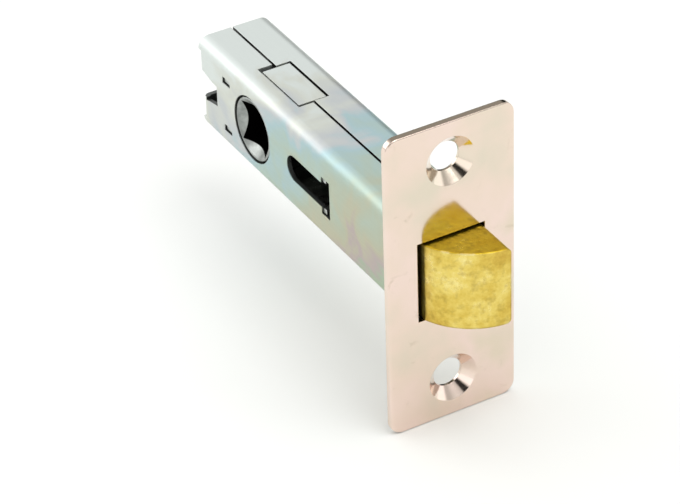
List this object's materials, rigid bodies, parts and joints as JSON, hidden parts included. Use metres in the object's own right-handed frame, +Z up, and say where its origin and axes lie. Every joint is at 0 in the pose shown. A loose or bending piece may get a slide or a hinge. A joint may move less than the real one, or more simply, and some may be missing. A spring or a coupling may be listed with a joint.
{
  "type": "tubular door latch",
  "caption": "Tubular mortice door latch: folded steel case on a narrow forend plate, with a sprung brass bolt drawn back by a follower that has a square spindle hole.",
  "frame": {"origin": "point where the middle line of the case meets the forend's front face, which lies flush with the door's edge", "axes": "+X out of the door's edge along the bolt's travel, +Z up along the forend, the bolt's bevel faces -Y"},
  "size_m": [0.0849, 0.025, 0.06],
  "materials": {
    "nickel_plate": "satin nickel plate on pressed steel",
    "zinc_plate": "bright zinc plate with a clear iridescent passivation",
    "bolt_brass": "die-cast brass, lightly polished",
    "bright_steel": "bright zinc-plated steel strip",
    "follower_steel": "sintered steel, zinc plated",
    "spring_wire": "drawn spring wire"
  },
  "bodies": {
    "case": {"forend": "nickel_plate", "case_left_half": "zinc_plate", "case_right_half": "zinc_plate", "spring_seat": "bright_steel", "bolt_spring": "spring_wire", "rear_bridge": "bright_steel"},
    "bolt": {"latch_bolt": "bolt_brass", "bolt_strap": "bright_steel", "bolt_rivet": "bright_steel"},
    "hub": {"follower": "follower_steel"}
  },
  "joints": [
    {"name": "bolt_slide", "type": "slide", "parent": "case", "child": "bolt", "axis": [1, 0, 0], "range_m": [-0.0085, 0], "stiffness_N_per_m": 400, "springref_m": 0.015, "deforming": ["bolt_spring"]},
    {"name": "follower_turn", "type": "hinge", "parent": "case", "child": "hub", "pos_m": [-0.057, 0, 0], "axis": [0, -1, 0], "range_deg": [0, 67.4]}
  ],
  "couplings": [
    {"joint": "follower_turn", "follows": "bolt_slide", "rad_per_m": -138.39}
  ]
}
